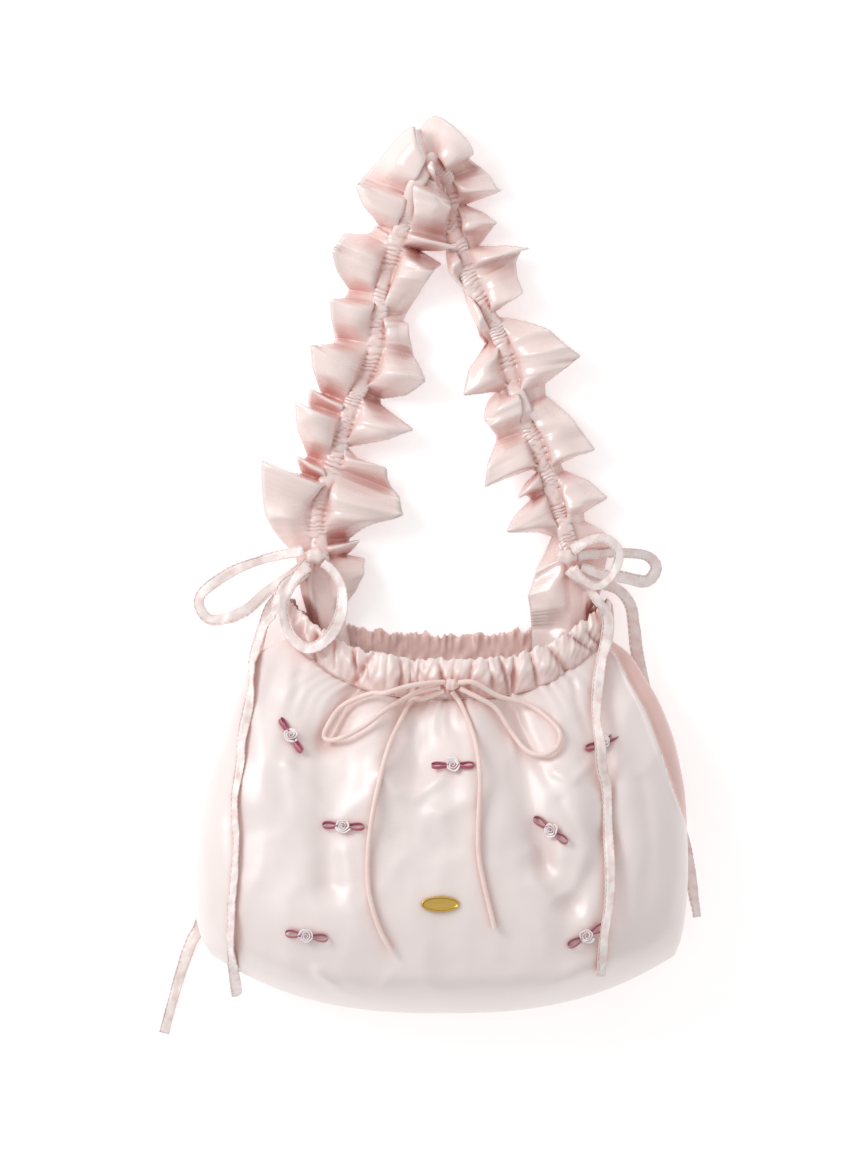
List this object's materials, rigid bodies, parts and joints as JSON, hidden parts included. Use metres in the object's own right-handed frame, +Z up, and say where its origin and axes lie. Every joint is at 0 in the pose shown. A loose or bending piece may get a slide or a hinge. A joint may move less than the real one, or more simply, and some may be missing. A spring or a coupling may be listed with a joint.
{
  "type": "satin bucket bag",
  "caption": "Small satin bucket bag lying on its back, with a shirred ruffle shoulder strap, gathered drawstring rim, ribbon ties, a cord bow and ribbon rosettes.",
  "frame": {"origin": "on the surface that the bag lies on, below the middle of the bag and its strap, their ties and cords left out", "axes": "+Z up out of the front panel, +Y from the bag's base to the strap, +X to the bag's right in the picture"},
  "size_m": [0.3383, 0.5697, 0.0847],
  "materials": {
    "satin": "pale blush polyester satin, soft sheen",
    "tie_ribbon": "folded and stitched satin ribbon, blush",
    "rattail": "round satin rattail cord, peach pink",
    "rose_ribbon": "rolled satin ribbon, lilac pink",
    "leaf_ribbon": "satin ribbon, dusty wine red",
    "plaque_metal": "brushed and lacquered, gold toned, bare middle"
  },
  "bodies": {
    "root": {"bag_body": "satin", "rim_casing": "satin", "strap": "satin", "bow_knot": "rattail", "bow_left_loop": "rattail", "bow_left_tail": "rattail", "bow_right_loop": "rattail", "bow_right_tail": "rattail", "left_tie_front_loop": "tie_ribbon", "left_tie_front_tail": "tie_ribbon", "left_tie_knot": "tie_ribbon", "left_tie_rear_tail": "tie_ribbon", "left_tie_side_loop": "tie_ribbon", "right_tie_front_tail": "tie_ribbon", "right_tie_knot": "tie_ribbon", "right_tie_near_loop": "tie_ribbon", "right_tie_rear_tail": "tie_ribbon", "right_tie_side_loop": "tie_ribbon", "rosette_1_leaves": "leaf_ribbon", "rosette_2_leaves": "leaf_ribbon", "rosette_3_leaves": "leaf_ribbon", "rosette_4_leaves": "leaf_ribbon", "rosette_5_leaves": "leaf_ribbon", "rosette_6_leaves": "leaf_ribbon", "rosette_7_leaves": "leaf_ribbon", "rosette_1_rose": "rose_ribbon", "rosette_2_rose": "rose_ribbon", "rosette_3_rose": "rose_ribbon", "rosette_4_rose": "rose_ribbon", "rosette_5_rose": "rose_ribbon", "rosette_6_rose": "rose_ribbon", "rosette_7_rose": "rose_ribbon", "plaque": "plaque_metal"}
  },
  "joints": []
}
